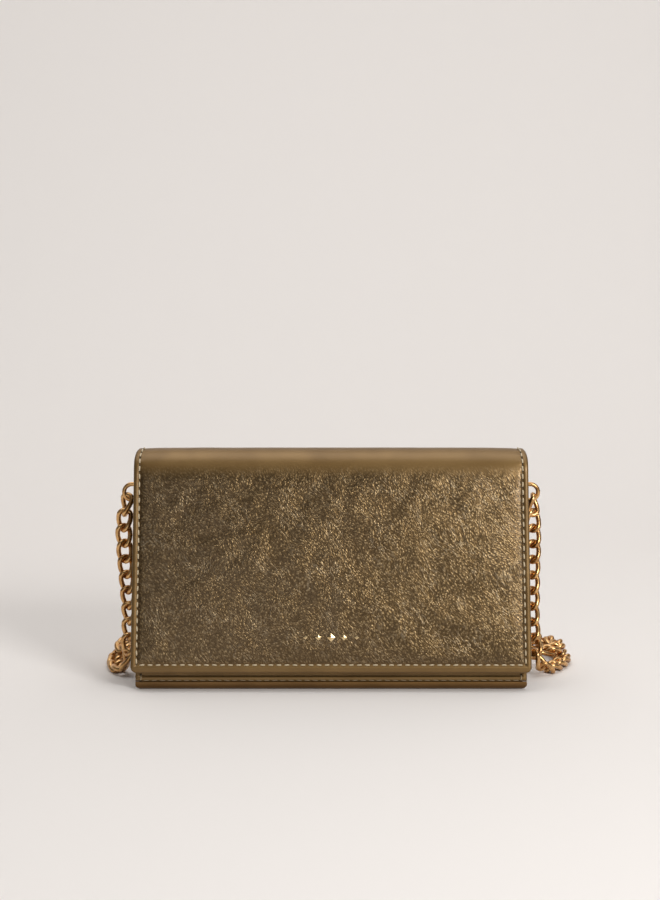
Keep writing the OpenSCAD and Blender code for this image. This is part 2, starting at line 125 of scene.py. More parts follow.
class Shader:
    """A material's node tree, with short calls for the nodes used here."""

    def __init__(self, name):
        self.material = bpy.data.materials.new(name)
        self.material.use_nodes = True
        self.tree = self.material.node_tree
        self.surface = self.tree.nodes["Principled BSDF"]

    def node(self, kind, **inputs):
        made = self.tree.nodes.new(kind)
        for name, value in inputs.items():
            self.feed(made.inputs[name.replace("_", " ")], value)
        return made

    def feed(self, socket, value):
        if isinstance(value, bpy.types.NodeSocket):
            self.tree.links.new(value, socket)
        else:
            socket.default_value = value

    def set(self, **inputs):
        for name, value in inputs.items():
            self.feed(self.surface.inputs[name.replace("_", " ")], value)

    def grain_place(self):
        """Where a point lies on the flat leather, in centimetres."""
        uv = self.node("ShaderNodeUVMap")
        uv.uv_map = "grain"
        return uv.outputs["UV"]

    def warp(self, place, scale, amount):
        """A place moved about by slow noise, so that no direction runs straight."""
        drift = self.node("ShaderNodeTexNoise", Vector=place, Scale=scale, Detail=1.0)
        made = self.node("ShaderNodeVectorMath")
        made.operation = "MULTIPLY_ADD"
        self.feed(made.inputs[0], drift.outputs["Color"])
        self.feed(made.inputs[1], (amount, amount, 0))
        self.feed(made.inputs[2], place)
        return made.outputs["Vector"]

    def stretch(self, place, turn, scale):
        """A place turned first and then scaled, for streaks along the turned X."""
        turned = self.node("ShaderNodeMapping", Vector=place, Rotation=(0, 0, turn))
        scaled = self.node("ShaderNodeMapping", Vector=turned.outputs["Vector"], Scale=(*scale, 1))
        return scaled.outputs["Vector"]

    def attribute(self, name):
        made = self.tree.nodes.new("ShaderNodeAttribute")
        made.attribute_name = name
        return made.outputs["Fac"]

    def object_place(self):
        """Where a point lies on the object, in millimetres."""
        coordinates = self.node("ShaderNodeTexCoord")
        scale = (1 / MM, 1 / MM, 1 / MM)
        place = self.node("ShaderNodeMapping", Vector=coordinates.outputs["Object"], Scale=scale)
        return place.outputs["Vector"]

    def noise(self, place, scale, detail=3.0, roughness=0.5, distortion=0.0):
        made = self.node(
            "ShaderNodeTexNoise",
            Vector=place, Scale=scale, Detail=detail, Roughness=roughness, Distortion=distortion,
        )
        return made.outputs["Fac"]

    def ridges(self, place, scale, detail, distortion):
        """Sharp crests along winding lines: 1 on the crests, 0 between them."""
        swing = self.noise(place, scale, detail, 0.55, distortion)
        from_middle = self.math("ABSOLUTE", self.math("MULTIPLY_ADD", swing, 4.0, -2.0))
        return self.math("SUBTRACT", 1.0, from_middle)

    def cells(self, place, scale):
        made = self.node("ShaderNodeTexVoronoi", Vector=place, Scale=scale)
        return made.outputs["Distance"]

    def ramp(self, value, stops):
        made = self.node("ShaderNodeValToRGB", Fac=value)
        ramp = made.color_ramp
        while len(ramp.elements) < len(stops):
            ramp.elements.new(0.5)
        for element, (position, colour) in zip(ramp.elements, stops):
            element.position = position
            element.color = (*colour, 1)
        return made.outputs["Color"]

    def remap(self, value, from_low, from_high, to_low, to_high):
        made = self.node(
            "ShaderNodeMapRange",
            Value=value, From_Min=from_low, From_Max=from_high, To_Min=to_low, To_Max=to_high,
        )
        return made.outputs["Result"]

    def math(self, operation, *values):
        made = self.node("ShaderNodeMath")
        made.operation = operation
        for socket, value in zip(made.inputs, values):
            self.feed(socket, value)
        return made.outputs["Value"]

    def blend(self, factor, a, b):
        made = self.tree.nodes.new("ShaderNodeMix")
        made.data_type = "RGBA"
        self.feed(made.inputs["Factor"], factor)
        self.feed(made.inputs["A"], a)
        self.feed(made.inputs["B"], b)
        return made.outputs["Result"]

    def bump(self, height, distance, strength=1.0, normal=None):
        made = self.node("ShaderNodeBump", Height=height, Distance=distance, Strength=strength)
        if normal is not None:
            self.feed(made.inputs["Normal"], normal)
        return made.outputs["Normal"]


def foil_leather(name, satin_dark, satin_light):
    """Metallic foil on leather: crinkled where it lies flat, satin where it is stretched."""
    s = Shader(name)
    flat = s.grain_place()
    drifting = s.warp(flat, 0.45, 0.9)
    slant = -0.9
    grainy = s.stretch(drifting, slant, (0.58, 1.0))
    pebbles = s.remap(s.cells(grainy, 11.5), 0.1, 0.65, 1.0, 0.0)
    fine = s.noise(grainy, 15.0, 2.0, 0.6)
    creases = s.ridges(s.stretch(drifting, slant - 0.05, (0.35, 1.0)), 3.2, 2.0, 0.3)
    creases = s.remap(creases, 0.88, 1.0, 0.0, 1.0)
    crumple = s.noise(s.stretch(drifting, slant, (0.7, 1.0)), 2.2, 2.0, 0.5)
    patches = s.noise(flat, 0.4, 2.0, 0.5, 0.3)
    # Patches where the crease ridges take the pale colour, part wear and part painted highlight.
    wear_and_highlight_patches = s.remap(s.noise(drifting, 0.8, 2.0, 0.5), 0.42, 0.66, 0.0, 1.0)
    crinkle = s.attribute("crinkle")

    raised = s.math("MULTIPLY_ADD", fine, 0.9, s.math("MULTIPLY", pebbles, 0.45))
    # The ramp over the raised grain paints shade into the hollows between the pebbles and a painted
    # highlight on their crests.
    shaded_hollow, slope, lit_crest = (0.08, 0.046, 0.015), (0.14, 0.087, 0.035), (0.27, 0.19, 0.095)
    foil = s.ramp(raised, [(0.42, shaded_hollow), (0.68, slope), (0.92, lit_crest)])
    # Pale beige along the crease ridges: partly rubbed foil, partly a painted highlight on the ridges. The
    # same mask also drives the crease bump.
    crease_wear_and_highlight = s.math("MULTIPLY", creases, s.math("MULTIPLY_ADD", wear_and_highlight_patches, 0.36, 0.04))
    foil = s.blend(crease_wear_and_highlight, foil, (0.42, 0.33, 0.21, 1))
    satin = s.ramp(patches, [(0.3, satin_dark), (0.7, satin_light)])
    s.set(
        Base_Color=s.blend(crinkle, satin, foil),
        Metallic=0.92,
        Coat_Weight=0.4,
        Coat_Roughness=0.3,
        Roughness=s.math("MULTIPLY_ADD", crinkle, -0.2, s.remap(patches, 0.3, 0.7, 0.57, 0.51)),
    )
    depth = s.remap(crinkle, 0, 1, 0.04, 1.0)
    normal = s.bump(s.math("MULTIPLY", crumple, depth), 0.0002)
    normal = s.bump(s.math("MULTIPLY", crease_wear_and_highlight, depth), 0.0001, 1.0, normal)
    normal = s.bump(s.math("MULTIPLY", raised, depth), 0.00017, 1.0, normal)
    s.set(Normal=normal)
    return s.material


def lining_leather():
    """Smooth dark leather with a faint grain."""
    s = Shader("lining_leather")
    place = s.grain_place()
    grain = s.cells(s.warp(place, 5.0, 0.1), 14.0)
    mottle = s.noise(place, 3.0, 5.0, 0.65)
    s.set(
        Base_Color=s.ramp(mottle, [(0.25, (0.04, 0.025, 0.016)), (0.8, (0.068, 0.044, 0.028))]),
        Roughness=s.remap(mottle, 0.3, 0.7, 0.52, 0.42),
        Normal=s.bump(mottle, 0.0001, 1.0, s.bump(grain, 0.00012)),
    )
    return s.material


def thread(name, colour):
    """Waxed thread, twisted round its length."""
    s = Shader(name)
    strands = s.noise(s.object_place(), 2.2, 1.0, 0.4)
    s.set(
        Base_Color=(*colour, 1),
        Roughness=0.42,
        Sheen_Weight=0.2,
        Normal=s.bump(strands, 0.00008, 0.8),
    )
    return s.material


def plated(name, deep, bright, roughness):
    """Polished plating, with a little darkening and fine scratches."""
    s = Shader(name)
    place = s.object_place()
    tarnish = s.noise(place, 0.22, 3.0, 0.6)
    scratches = s.noise(place, 3.0, 4.0, 0.7, 0.5)
    s.set(
        Base_Color=s.ramp(tarnish, [(0.32, deep), (0.62, bright)]),
        Metallic=1.0,
        Roughness=s.remap(scratches, 0.3, 0.7, roughness * 0.75, roughness * 1.35),
        Normal=s.bump(scratches, 0.00002, 0.5),
    )
    return s.material


def plain(name, colour, roughness, metallic=0.0):
    """A dull surface with slight variation."""
    s = Shader(name)
    mottle = s.noise(s.object_place(), 0.5, 4.0, 0.6)
    darker = tuple(0.75 * c for c in colour)
    s.set(
        Base_Color=s.ramp(mottle, [(0.3, darker), (0.7, colour)]),
        Roughness=roughness,
        Metallic=metallic,
        Normal=s.bump(mottle, 0.0001, 0.4),
    )
    return s.material


def twill():
    """The zip's woven tape."""
    s = Shader("twill")
    weave = s.node("ShaderNodeTexWave", Vector=s.object_place(), Scale=1.1, Distortion=0.3)
    weave.bands_direction = "DIAGONAL"
    ribs = weave.outputs["Fac"]
    s.set(
        Base_Color=s.ramp(ribs, [(0.2, (0.02, 0.014, 0.01)), (0.8, (0.06, 0.042, 0.03))]),
        Roughness=0.85,
        Normal=s.bump(ribs, 0.00015, 0.8),
    )
    return s.material


# ---------- meshes ----------


def smooth_step(value, low, high):
    """0 below low, 1 above high, and smooth between."""
    t = np.clip((value - low) / (high - low), 0, 1)
    return t * t * (3 - 2 * t)


def fall(distance, radius):
    """How far a rounded edge falls below the flat, at a distance from the edge."""
    inside = np.clip(distance, 0, radius)
    return radius - np.sqrt(radius**2 - (radius - inside) ** 2)


def bell(value, centre, width):
    """1 at the centre, falling away smoothly on both sides."""
    return np.exp(-(((value - centre) / width) ** 2))


def unrest(x, s, size, layer):
    """Smooth noise over the leather, about -1 to 1, with features of one size."""
    flat = [
        noise.fractal(Vector((a / size, b / size, layer)), 0.8, 2.0, 4)
        for a, b in zip(x.ravel(), s.ravel())
    ]
    return np.array(flat).reshape(x.shape)


def unit(vectors):
    """The same directions, each one long."""
    return vectors / np.linalg.norm(vectors, axis=-1, keepdims=True)


def grid_normals(grid):
    """Unit normals of a grid of points, along rows x columns."""
    down = np.gradient(grid, axis=0)
    across = np.gradient(grid, axis=1)
    return unit(np.cross(across, down))


def spread(values, like):
    """One value for each row, spread over all columns of a grid."""
    return np.broadcast_to(values[:, None], like.shape)


def points_of(x, y, z):
    """A grid of points, from X at each point and Y and Z at each row."""
    return np.stack([x, spread(y, x), spread(z, x)], -1)


def columns(half, step=1.3):
    """X at each row and column of a grid whose half width is given at each row."""
    inner = EDGE_STEPS[-1]
    count = int((BODY_W - 2 * inner) / step)
    middle = np.linspace(-1, 1, count + 2)[1:-1]
    share = np.array([-1] * len(EDGE_STEPS) + [*middle] + [1] * len(EDGE_STEPS), float)
    offset = np.array([*EDGE_STEPS, *(-inner * middle), *(-e for e in reversed(EDGE_STEPS))])
    return half[:, None] * share + offset


def rows(length, step, near_start=True, near_end=True):
    """Distances along a strip, close together near its free ends."""
    start = EDGE_STEPS if near_start else [0.0]
    end = [length - e for e in reversed(EDGE_STEPS)] if near_end else [length]
    count = max(2, int((end[0] - start[-1]) / step))
    between = np.linspace(start[-1], end[0], count + 1)[1:-1]
    return np.array([*start, *between, *end])


class Panel:
    """A sheet with thickness: an outer grid, an inner one, and the edges between."""

    def __init__(self, base, thickness, relief, under, grain, facing, crinkle=0.0):
        normals = grid_normals(base)
        if np.sum(normals * facing) < 0:
            normals = -normals
        self.base_normals = normals
        self.outer = base + normals * relief[..., None]
        depth = np.broadcast_to(thickness + under, relief.shape)
        inner = base - normals * depth[..., None]
        self.rings = np.concatenate([self.outer, inner[:, ::-1]], axis=1)
        self.grain = np.concatenate([grain, grain[:, ::-1]], axis=1)
        crinkle = np.broadcast_to(crinkle, relief.shape)
        self.crinkle = np.concatenate([crinkle, crinkle[:, ::-1]], axis=1)
        self.normals = self.ring_normals()

    def ring_normals(self):
        """Normals of the closed rings, so that pieces cut from one panel match."""
        along = np.gradient(self.rings, axis=0)
        after = np.roll(self.rings, -1, axis=1)
        before = np.roll(self.rings, 1, axis=1)
        normals = np.cross(after - before, along)
        size = np.linalg.norm(normals, axis=2, keepdims=True)
        normals = normals / np.maximum(size, 1e-9)
        middle = self.outer.shape[1] // 2
        if np.sum(normals[:, middle] * self.base_normals[:, middle]) < 0:
            normals = -normals
        return normals

    def piece(self, name, material, first=0, last=None, caps=(True, True)):
        """A mesh of the rows from first to last."""
        last = len(self.rings) - 1 if last is None else last
        rings = self.rings[first : last + 1]
        count, around = rings.shape[:2]
        index = np.arange(count * around).reshape(count, around)
        beside = np.roll(index, -1, axis=1)
        quads = np.stack([index[:-1], beside[:-1], beside[1:], index[1:]], -1).reshape(-1, 4)
        half = around // 2
        for row, wanted, turn in ((0, caps[0], True), (count - 1, caps[1], False)):
            if wanted:
                front = index[row, :half]
                rear = index[row, :half - 1 : -1]
                cap = np.stack([front[:-1], front[1:], rear[1:], rear[:-1]], -1)
                quads = np.concatenate([quads, cap[:, ::-1] if turn else cap])
        a, b, _, d = quads[(count // 2) * around + half // 2]
        flat = rings.reshape(-1, 3)
        normals = self.normals[first : last + 1].reshape(-1, 3)
        if np.dot(np.cross(flat[b] - flat[a], flat[d] - flat[a]), normals[a]) < 0:
            quads = quads[:, ::-1]
        made = add_mesh(name, flat, quads, material)
        spread_grain(made, self.grain[first : last + 1].reshape(-1, 2))
        depth = made.data.attributes.new("crinkle", "FLOAT", "POINT")
        depth.data.foreach_set("value", self.crinkle[first : last + 1].astype(np.float32).ravel())
        made.data.normals_split_custom_set_from_vertices([tuple(n) for n in normals])
        return made

    def line(self, row=None, column=None):
        """The outer points and normals along one row or column."""
        where = (row, slice(None)) if column is None else (slice(None), column)
        return self.outer[where], self.base_normals[where]


def add_mesh(name, points, faces, material):
    """A smooth mesh object from points in millimetres."""
    data = bpy.data.meshes.new(name)
    data.from_pydata([tuple(p) for p in np.asarray(points) * MM], [], [tuple(f) for f in faces])
    data.polygons.foreach_set("use_smooth", [True] * len(data.polygons))
    data.materials.append(material)
    made = bpy.data.objects.new(name, data)
    bpy.context.scene.collection.objects.link(made)
    return made


def tube_faces(rings, around, first=0, ends="open"):
    """Faces between rings of points; the ends are left open, capped, or joined in a loop."""
    faces = []
    for i in range(rings if ends == "loop" else rings - 1):
        here, ahead = first + i * around, first + (i + 1) % rings * around
        for k in range(around):
            beside = (k + 1) % around
            faces.append((here + k, here + beside, ahead + beside, ahead + k))
    if ends == "capped":
        last = first + (rings - 1) * around
        faces.append(tuple(first + k for k in reversed(range(around))))
        faces.append(tuple(last + k for k in range(around)))
    return faces


def flipped(faces):
    """The same faces, turned to look the other way."""
    return [face[::-1] for face in faces]


def spread_grain(made, grain):
    """Gives each vertex its place on the flat leather, in centimetres."""
    layer = made.data.uv_layers.new(name="grain")
    corners = np.zeros(len(made.data.loops), int)
    made.data.loops.foreach_get("vertex_index", corners)
    layer.data.foreach_set("uv", (grain[corners] / 10).astype(np.float32).ravel())


def place(made, body, slot, *nodes):
    """Attaches a piece to its body, if one is given, and hides the CAD nodes it stands for. The slot
    argument is not used.
    """
    if body is not None:
        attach(made, body)
    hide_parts(*nodes)


# ---------- the strip from the back over the crown to the flap ----------


def strip_place(s, depth):
    """Y, Z of the strip at a distance s from the back's foot, at a depth inside."""
    turn = np.clip((s - ARC_START) / CROWN_R, 0, CROWN_TURN)
    y = CROWN_Y + (CROWN_R - depth) * np.cos(turn)
    z = CROWN_Z + (CROWN_R - depth) * np.sin(turn)
    before = np.clip(ARC_START - s, 0, None)
    after = np.clip(s - ARC_END, 0, None)
    y = y - after * math.sin(CROWN_TURN)
    z = z - before + after * math.cos(CROWN_TURN)
    return y, z


def strip_rows():
    """Distances along the strip, with one row exactly at each cut."""
    turn_len = CROWN_R * HINGE_TURN
    bend_rows = 16
    ends = [ARC_START + k * turn_len for k in range(4)]
    back = rows(ARC_START, 1.5, near_end=False)
    arc = [np.linspace(a, b, bend_rows + 1)[1:] for a, b in zip(ends, ends[1:])]
    flap = ends[-1] + rows(FLAP_LEN, 1.3, near_start=False)[1:]
    cuts = [len(back) - 1 + bend_rows * k for k in range(4)]
    return np.concatenate([back, *arc, flap]), cuts


def strip_half_width(z, s, inset, total):
    """Half the strip's width, drawn in at the crown's corners and the flap's."""
    crown_top = ARC_START + CROWN_R * math.pi / 2
    on_flap = smooth_step(s, crown_top, crown_top + 0.9 * CROWN_R)
    share = np.clip((CROWN_Z - z) / (CROWN_Z - FLAP_FOOT_Z), 0, 1)
    flap_half = (FLAP_TOP_W + (FLAP_W - FLAP_TOP_W) * share) / 2
    half = BODY_W / 2 + (flap_half - BODY_W / 2) * on_flap - inset
    half = half - fall(WALLET_H - z, CROWN_CORNER_R)
    half = half - fall(total - s, FLAP_CORNER_R)
    return half - fall(s, 2.5) * 0.5


def outer_relief(x, s, edge, end, layer, calm=0.0, foot_extra=0.0):
    """The leather's puff beside its seams, its pulled stitches and its waves.

    Where calm is 1 the leather is stretched, and lies almost flat. The seam
    along the foot lies further from its edge by foot_extra.
    """
    rim = np.minimum(edge, end)
    near = np.minimum(edge, end - foot_extra)
    valley = -0.6 * bell(near, SEAM, 0.75)
    welt = 0.25 * bell(near, 1.9, 1.0)
    inside = np.clip(near - SEAM, 0, None)
    puff = 0.5 * (1 - np.exp(-inside / 3)) + 0.6 * (1 - np.exp(-inside / 14))
    run = np.where(edge < end, s, x)
    pucker = 0.1 * np.cos(2 * np.pi * run / STITCH_PITCH) * bell(near, SEAM + 0.6, 1.4)
    inner = np.clip((near - SEAM) / 6, 0, 1)
    waves = 0.42 * unrest(x, s, 30, layer) + 0.16 * unrest(x * 0.8 + s * 0.5, s * 0.7, 10, layer + 5)
    loose = (valley + waves * inner) * (1 - 0.85 * calm)
    return loose + puff * (1 - 0.5 * calm) + welt + pucker - fall(rim, 0.95)


def make_strip_panel():
    """The outer leather, from the back's foot over the crown to the flap's foot."""
    s, cuts = strip_rows()
    total = s[-1]
    y, z = strip_place(s, 0)
    half = strip_half_width(z, s, 0, total)
    x = columns(half)
    s_grid = spread(s, x)
    edge = half[:, None] - np.abs(x)
    # The back's foot is a cut edge, rounded as if it ended a little further down.
    end = np.minimum(total - s_grid, s_grid + 1.5)
    on_back = 1 - smooth_step(s_grid, ARC_START, ARC_START + 8)
    on_flap = smooth_step(s_grid, ARC_END - 5, ARC_END + 5)
    off_crown = on_back + on_flap
    foot_extra = FOOT_SEAM - SEAM
    relief = outer_relief(x, s_grid, edge, end, 0.3, 1 - off_crown, foot_extra)
    up_face = np.clip((total - s_grid) / FLAP_LEN, 0, 1)
    relief = relief + FACE_BULGE * (1 - (x / half[:, None]) ** 2) * 4 * up_face * (1 - up_face)
    under = -fall(np.minimum(edge, end), 0.8)
    y_in, z_in = strip_place(s, 1)
    facing = np.stack([np.zeros_like(y), y - y_in, z - z_in], -1)[:, None, :]
    grain = np.stack([x, s_grid], -1)
    crinkle = smooth_step(np.minimum(edge, end - foot_extra), SEAM, SEAM + 1.2) * off_crown
    return Panel(points_of(x, y, z), SHELL_T, relief, under, grain, facing, crinkle), s, cuts


def make_lining_strip():
    """The lining on the other side of the same strip, set in from its edges."""
    inset = 2.0
    s, cuts = strip_rows()
    keep = (s > inset) & (s < s[-1] - inset + 0.1)
    first = int(np.argmax(keep))
    s, cuts = s[keep], [c - first for c in cuts]
    y, z = strip_place(s, WALL_T)
    full_y, full_z = strip_place(s, 0)
    half = strip_half_width(full_z, s, inset, s[-1])
    x = columns(half, 2.6)
    s_grid = spread(s, x)
    edge = np.minimum(half[:, None] - np.abs(x), np.minimum(s[-1] - s_grid, s_grid - s[0]))
    relief = 0.12 * unrest(x, s_grid, 24, 9.0) * np.clip(edge / 4, 0, 1) - fall(edge, 0.4)
    facing = np.stack([np.zeros_like(y), y - full_y, z - full_z], -1)[:, None, :]
    grain = np.stack([x, s_grid + 400], -1)
    return Panel(points_of(x, y, z), LINING_T + 0.1, relief, 0.0, grain, facing), cuts


def bend(made):
    """Bakes a piece's transform into its mesh; the piece is not bent."""
    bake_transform(made)


def cut_strip(panel, cuts, names, material):
    """The strip's three pieces: up to the first bend's end, the second, the rest."""
    last = len(panel.rings) - 1
    ends = [(0, cuts[1]), (cuts[1], cuts[2]), (cuts[2], last)]
    made = []
    for k, (name, (first, stop)) in enumerate(zip(names, ends)):
        piece = panel.piece(name, material, first, stop, (k == 0, k == 2))
        bend(piece)
        made.append(piece)
    return made


def make_strip(leather, lining):
    """The strip's leather and its lining, each in three pieces."""
    panel, s, cuts = make_strip_panel()
    inner, inner_cuts = make_lining_strip()
    for sheet, its_cuts, kind, slot, flap_side, material in (
        (panel, cuts, "leather", "outer_leather", "outer", leather),
        (inner, inner_cuts, "lining", "lining_leather", "inner", lining),
    ):
        names = (f"back_and_crown_{kind}", f"crown_top_{kind}", f"flap_{flap_side}_{kind}")
        rear, top, flap = cut_strip(sheet, its_cuts, names, material)
        place(rear, None, slot, f"back_{kind}", f"crown_rear_{kind}")
        place(top, None, slot, f"crown_front_{kind}")
        place(flap, None, slot, f"flap_{kind}")
    return panel, s, cuts


# ---------- stitches ----------


def square_to(vectors, ahead):
    """Unit vectors at right angles to ahead, nearest to the given ones."""
    return unit(vectors - ahead * np.sum(vectors * ahead, axis=1, keepdims=True))


def distances(points):
    """How far each point is along the line through them all."""
    steps = np.linalg.norm(np.diff(points, axis=0), axis=1)
    return np.concatenate([[0], np.cumsum(steps)])


def resample(points, normals, pitch, margin):
    """Points, directions and normals at even steps along a line."""
    along = distances(points)
    count = int((along[-1] - 2 * margin) / pitch)
    start = (along[-1] - count * pitch) / 2
    where = start + pitch * np.arange(count + 1)

    def at(values, distance):
        return np.stack([np.interp(distance, along, values[:, k]) for k in range(3)], -1)

    centres = at(points, where)
    ahead = unit(at(points, where + 1.0) - at(points, where - 1.0))
    return centres, ahead, square_to(at(normals, where), ahead)


def add_stitches(name, centres, ahead, up, material, radius, length=STITCH_LEN):
    """Short rounded stitches that dive into the leather at both ends."""
    stops = np.linspace(-1, 1, 9)
    sides = 8
    turn = np.arange(sides) * 2 * math.pi / sides
    points, faces = [], []
    for centre, forward, normal in zip(centres, ahead, up):
        slant = random.uniform(-0.05, 0.05)
        side = np.cross(normal, forward)
        first = len(points)
        for t in stops:
            wide = radius * max(0.25, 1 - abs(t) ** 4) ** 0.5
            middle = centre + forward * t * length / 2 + side * slant * t * length
            middle = middle + normal * (radius * 0.7 - 1.5 * radius * abs(t) ** 3)
            points.extend(middle + side * wide * math.cos(a) + normal * wide * math.sin(a) for a in turn)
        faces.extend(tube_faces(len(stops), sides, first, "capped"))
    return add_mesh(name, points, faces, material)


def add_hole_shade(name, centres, ahead, up, material):
    """Dark discs at the stitches' ends, which paint the shade inside the needle holes."""
    sides = 8
    turn = np.arange(sides) * 2 * math.pi / sides
    points, faces = [], []
    for centre, forward, normal in zip(centres, ahead, up):
        side = np.cross(normal, forward) * HOLE_R
        long_way = forward * HOLE_R * 1.3
        for end in (-1, 1):
            middle = centre + forward * end * (STITCH_LEN / 2 + 0.1) + normal * 0.06
            first = len(points)
            points.extend(middle + long_way * math.cos(a) + side * math.sin(a) for a in turn)
            points.append(middle + normal * 0.02)
            faces.extend((first + k, first + (k + 1) % sides, first + sides) for k in range(sides))
    return add_mesh(name, points, faces, material)


def sew(name, group, thread_material, hole_shade_material, radius=0.42):
    """A seam's stitches, and dark discs painting shade into their needle holes."""
    return (
        add_stitches(f"stitches_{name}", *group, thread_material, radius),
        add_hole_shade(f"stitch_hole_shade_{name}", *group, hole_shade_material),
    )


def stitch_strip(panel, s, cuts, thread_material, hole_shade_material):
    """The seams along the strip's sides and round the flap's foot."""
    seam_column = EDGE_STEPS.index(SEAM)
    foot_row = len(s) - 1 - EDGE_STEPS.index(FOOT_SEAM)
    back_row = EDGE_STEPS.index(2.0)
    bounds = [s[0], s[cuts[1]], s[cuts[2]], s[-1]]
    for side, column in (("left", seam_column), ("right", -1 - seam_column)):
        line = [part[back_row : foot_row + 1] for part in panel.line(column=column)]
        centres, ahead, up = resample(*line, STITCH_PITCH, 1.0)
        reached = s[back_row] + distances(centres)
        for k in range(3):
            mine = (reached >= bounds[k]) & (reached < bounds[k + 1])
            group = centres[mine], ahead[mine], up[mine]
            for made in sew(f"{side}_{k}", group, thread_material, hole_shade_material):
                bend(made)
    line = [part[seam_column:-seam_column] for part in panel.line(row=foot_row)]
    group = resample(*line, STITCH_PITCH, 2.0)
    for made in sew("foot", group, thread_material, hole_shade_material):
        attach(made, "flap")


# ---------- flat panels ----------


def front_place(v, depth):
    """Y, Z of a point v up the flap's face from its foot, at a depth behind it."""
    y = FOOT_Y + depth * math.cos(LEAN) + v * math.sin(LEAN)
    z = FLAP_FOOT_Z - depth * math.sin(LEAN) + v * math.cos(LEAN)
    return y, z


def up_front(z, depth):
    """How far up the flap's face a height is, at a depth behind it."""
    return (z - FLAP_FOOT_Z + depth * math.sin(LEAN)) / math.cos(LEAN)


def flat_panel(
    name, material, width, low, high, place_at, facing, thickness, layer, corner=1.0, padded=False
):
    """A rectangular sheet; place_at gives Y and Z at a height along it."""
    v = rows(high - low, 1.8)
    y, z = place_at(low + v)
    half = width / 2 - fall(v, 0.4)
    half = half - fall(v[-1] - v, corner)
    x = columns(half, 1.8)
    v_grid = spread(v, x)
    edge = half[:, None] - np.abs(x)
    end = np.minimum(v[-1] - v_grid, v_grid)
    near = np.minimum(edge, end)
    under = -fall(near, thickness * 0.45)
    if padded:
        relief = outer_relief(x, v_grid, edge, end, layer)
    else:
        relief = 0.1 * unrest(x, v_grid, 22, layer) * np.clip(near / 5, 0, 1) + under
    grain = np.stack([x, v_grid + 100 * layer], -1)
    crinkle = smooth_step(near, SEAM + 2, SEAM + 6)
    panel = Panel(points_of(x, y, z), thickness, relief, under, grain, np.array(facing), crinkle)
    return panel.piece(name, material), panel


def make_front(leather, lining, thread_material, hole_shade_material):
    """The front panel's leather, its lining, the pocket behind it and its seams."""
    outward = (0, -math.cos(LEAN), math.sin(LEAN))
    inward = (0, math.cos(LEAN), -math.sin(LEAN))
    low = up_front(BASE_LIP_Z + 0.1, FRONT_DEPTH)
    high = up_front(FRONT_TOP_Z, FRONT_DEPTH)
    made, panel = flat_panel(
        "front_outer_leather", leather, BODY_W, low, high,
        lambda v: front_place(v, FRONT_DEPTH), outward, SHELL_T, layer=3.0, corner=3.0, padded=True,
    )
    place(made, "wallet", "outer_leather", "front_leather")
    inner_depth = FRONT_DEPTH + WALL_T
    made, _ = flat_panel(
        "front_inner_lining", lining, BODY_W - 4, up_front(INSIDE_Z, inner_depth), high,
        lambda v: front_place(v, inner_depth), inward, LINING_T + 0.1, layer=4.0, corner=3.0,
    )
    place(made, "wallet", "lining_leather", "front_lining")
    pocket_depth = inner_depth + 0.4 + LINING_T
    made, _ = flat_panel(
        "slip_pocket_sheet", lining, 160, up_front(INSIDE_Z, pocket_depth), 66,
        lambda v: front_place(v, pocket_depth), inward, LINING_T, layer=5.0, corner=2.0,
    )
    place(made, "wallet", "lining_leather", "slip_pocket")
    seam, low_row = EDGE_STEPS.index(SEAM), EDGE_STEPS.index(0.42)
    lines = {
        "front_left": panel.line(column=seam),
        "front_right": panel.line(column=-1 - seam),
        "front_top": [part[seam:-seam] for part in panel.line(row=-1 - seam)],
    }
    for name, line in lines.items():
        group = resample(*line, STITCH_PITCH, 2.0)
        for made in sew(name, group, thread_material, hole_shade_material, 0.33):
            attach(made, "wallet")
    line = [part[seam:-seam] for part in panel.line(row=low_row)]
    group = resample(*line, STITCH_PITCH, 2.0)
    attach(add_stitches("stitches_front_low", *group, thread_material, 0.2), "wallet")


def make_base(leather):
    """The trough round the lower edges: front lip, corner, bottom, corner, back lip."""
    r = BASE_CORNER_R
    front_foot = FOOT_Y + FRONT_DEPTH / math.cos(LEAN) - FLAP_FOOT_Z * math.tan(LEAN)
    front_c = front_foot + r * math.tan(LEAN) + r / math.cos(LEAN)
    back_c = BACK_Y - r
    front_turn = np.linspace(math.pi - LEAN, 1.5 * math.pi, 13)
    back_turn = np.linspace(1.5 * math.pi, 2 * math.pi, 13)
    lip = (BASE_LIP_Z, 4.36, 4.25, 4.1, 3.95, 3.8)
    path = [(front_foot + z * math.tan(LEAN), z) for z in lip]
    path += [(front_c + r * math.cos(a), r + r * math.sin(a)) for a in front_turn]
    path += [(y, 0.0) for y in np.linspace(front_c, back_c, 26)[1:-1]]
    path += [(back_c + r * math.cos(a), r + r * math.sin(a)) for a in back_turn]
    path += [(BACK_Y, z) for z in reversed(lip)]
    path = np.array(path)
    s = distances(path)
    half = BODY_W / 2 - fall(path[:, 1], 2.6)
    x = columns(half, 2.0)
    base = points_of(x, path[:, 0], path[:, 1])
    s_grid = spread(s, x)
    near = np.minimum(np.minimum(s_grid, s[-1] - s_grid), half[:, None] - np.abs(x))
    wave = 0.12 * unrest(x, s_grid, 18, 6.0) * np.clip(base[..., 2] / 2, 0, 1)
    facing = base - (0, (front_foot + BACK_Y) / 2, 12.0)
    grain = np.stack([x, s_grid + 600], -1)
    panel = Panel(base, 1.4, wave - fall(near, 0.5), -fall(near, 0.4), grain, facing)
    made = panel.piece("base_trough", leather)
    place(made, "wallet", "outer_leather", "base_leather")


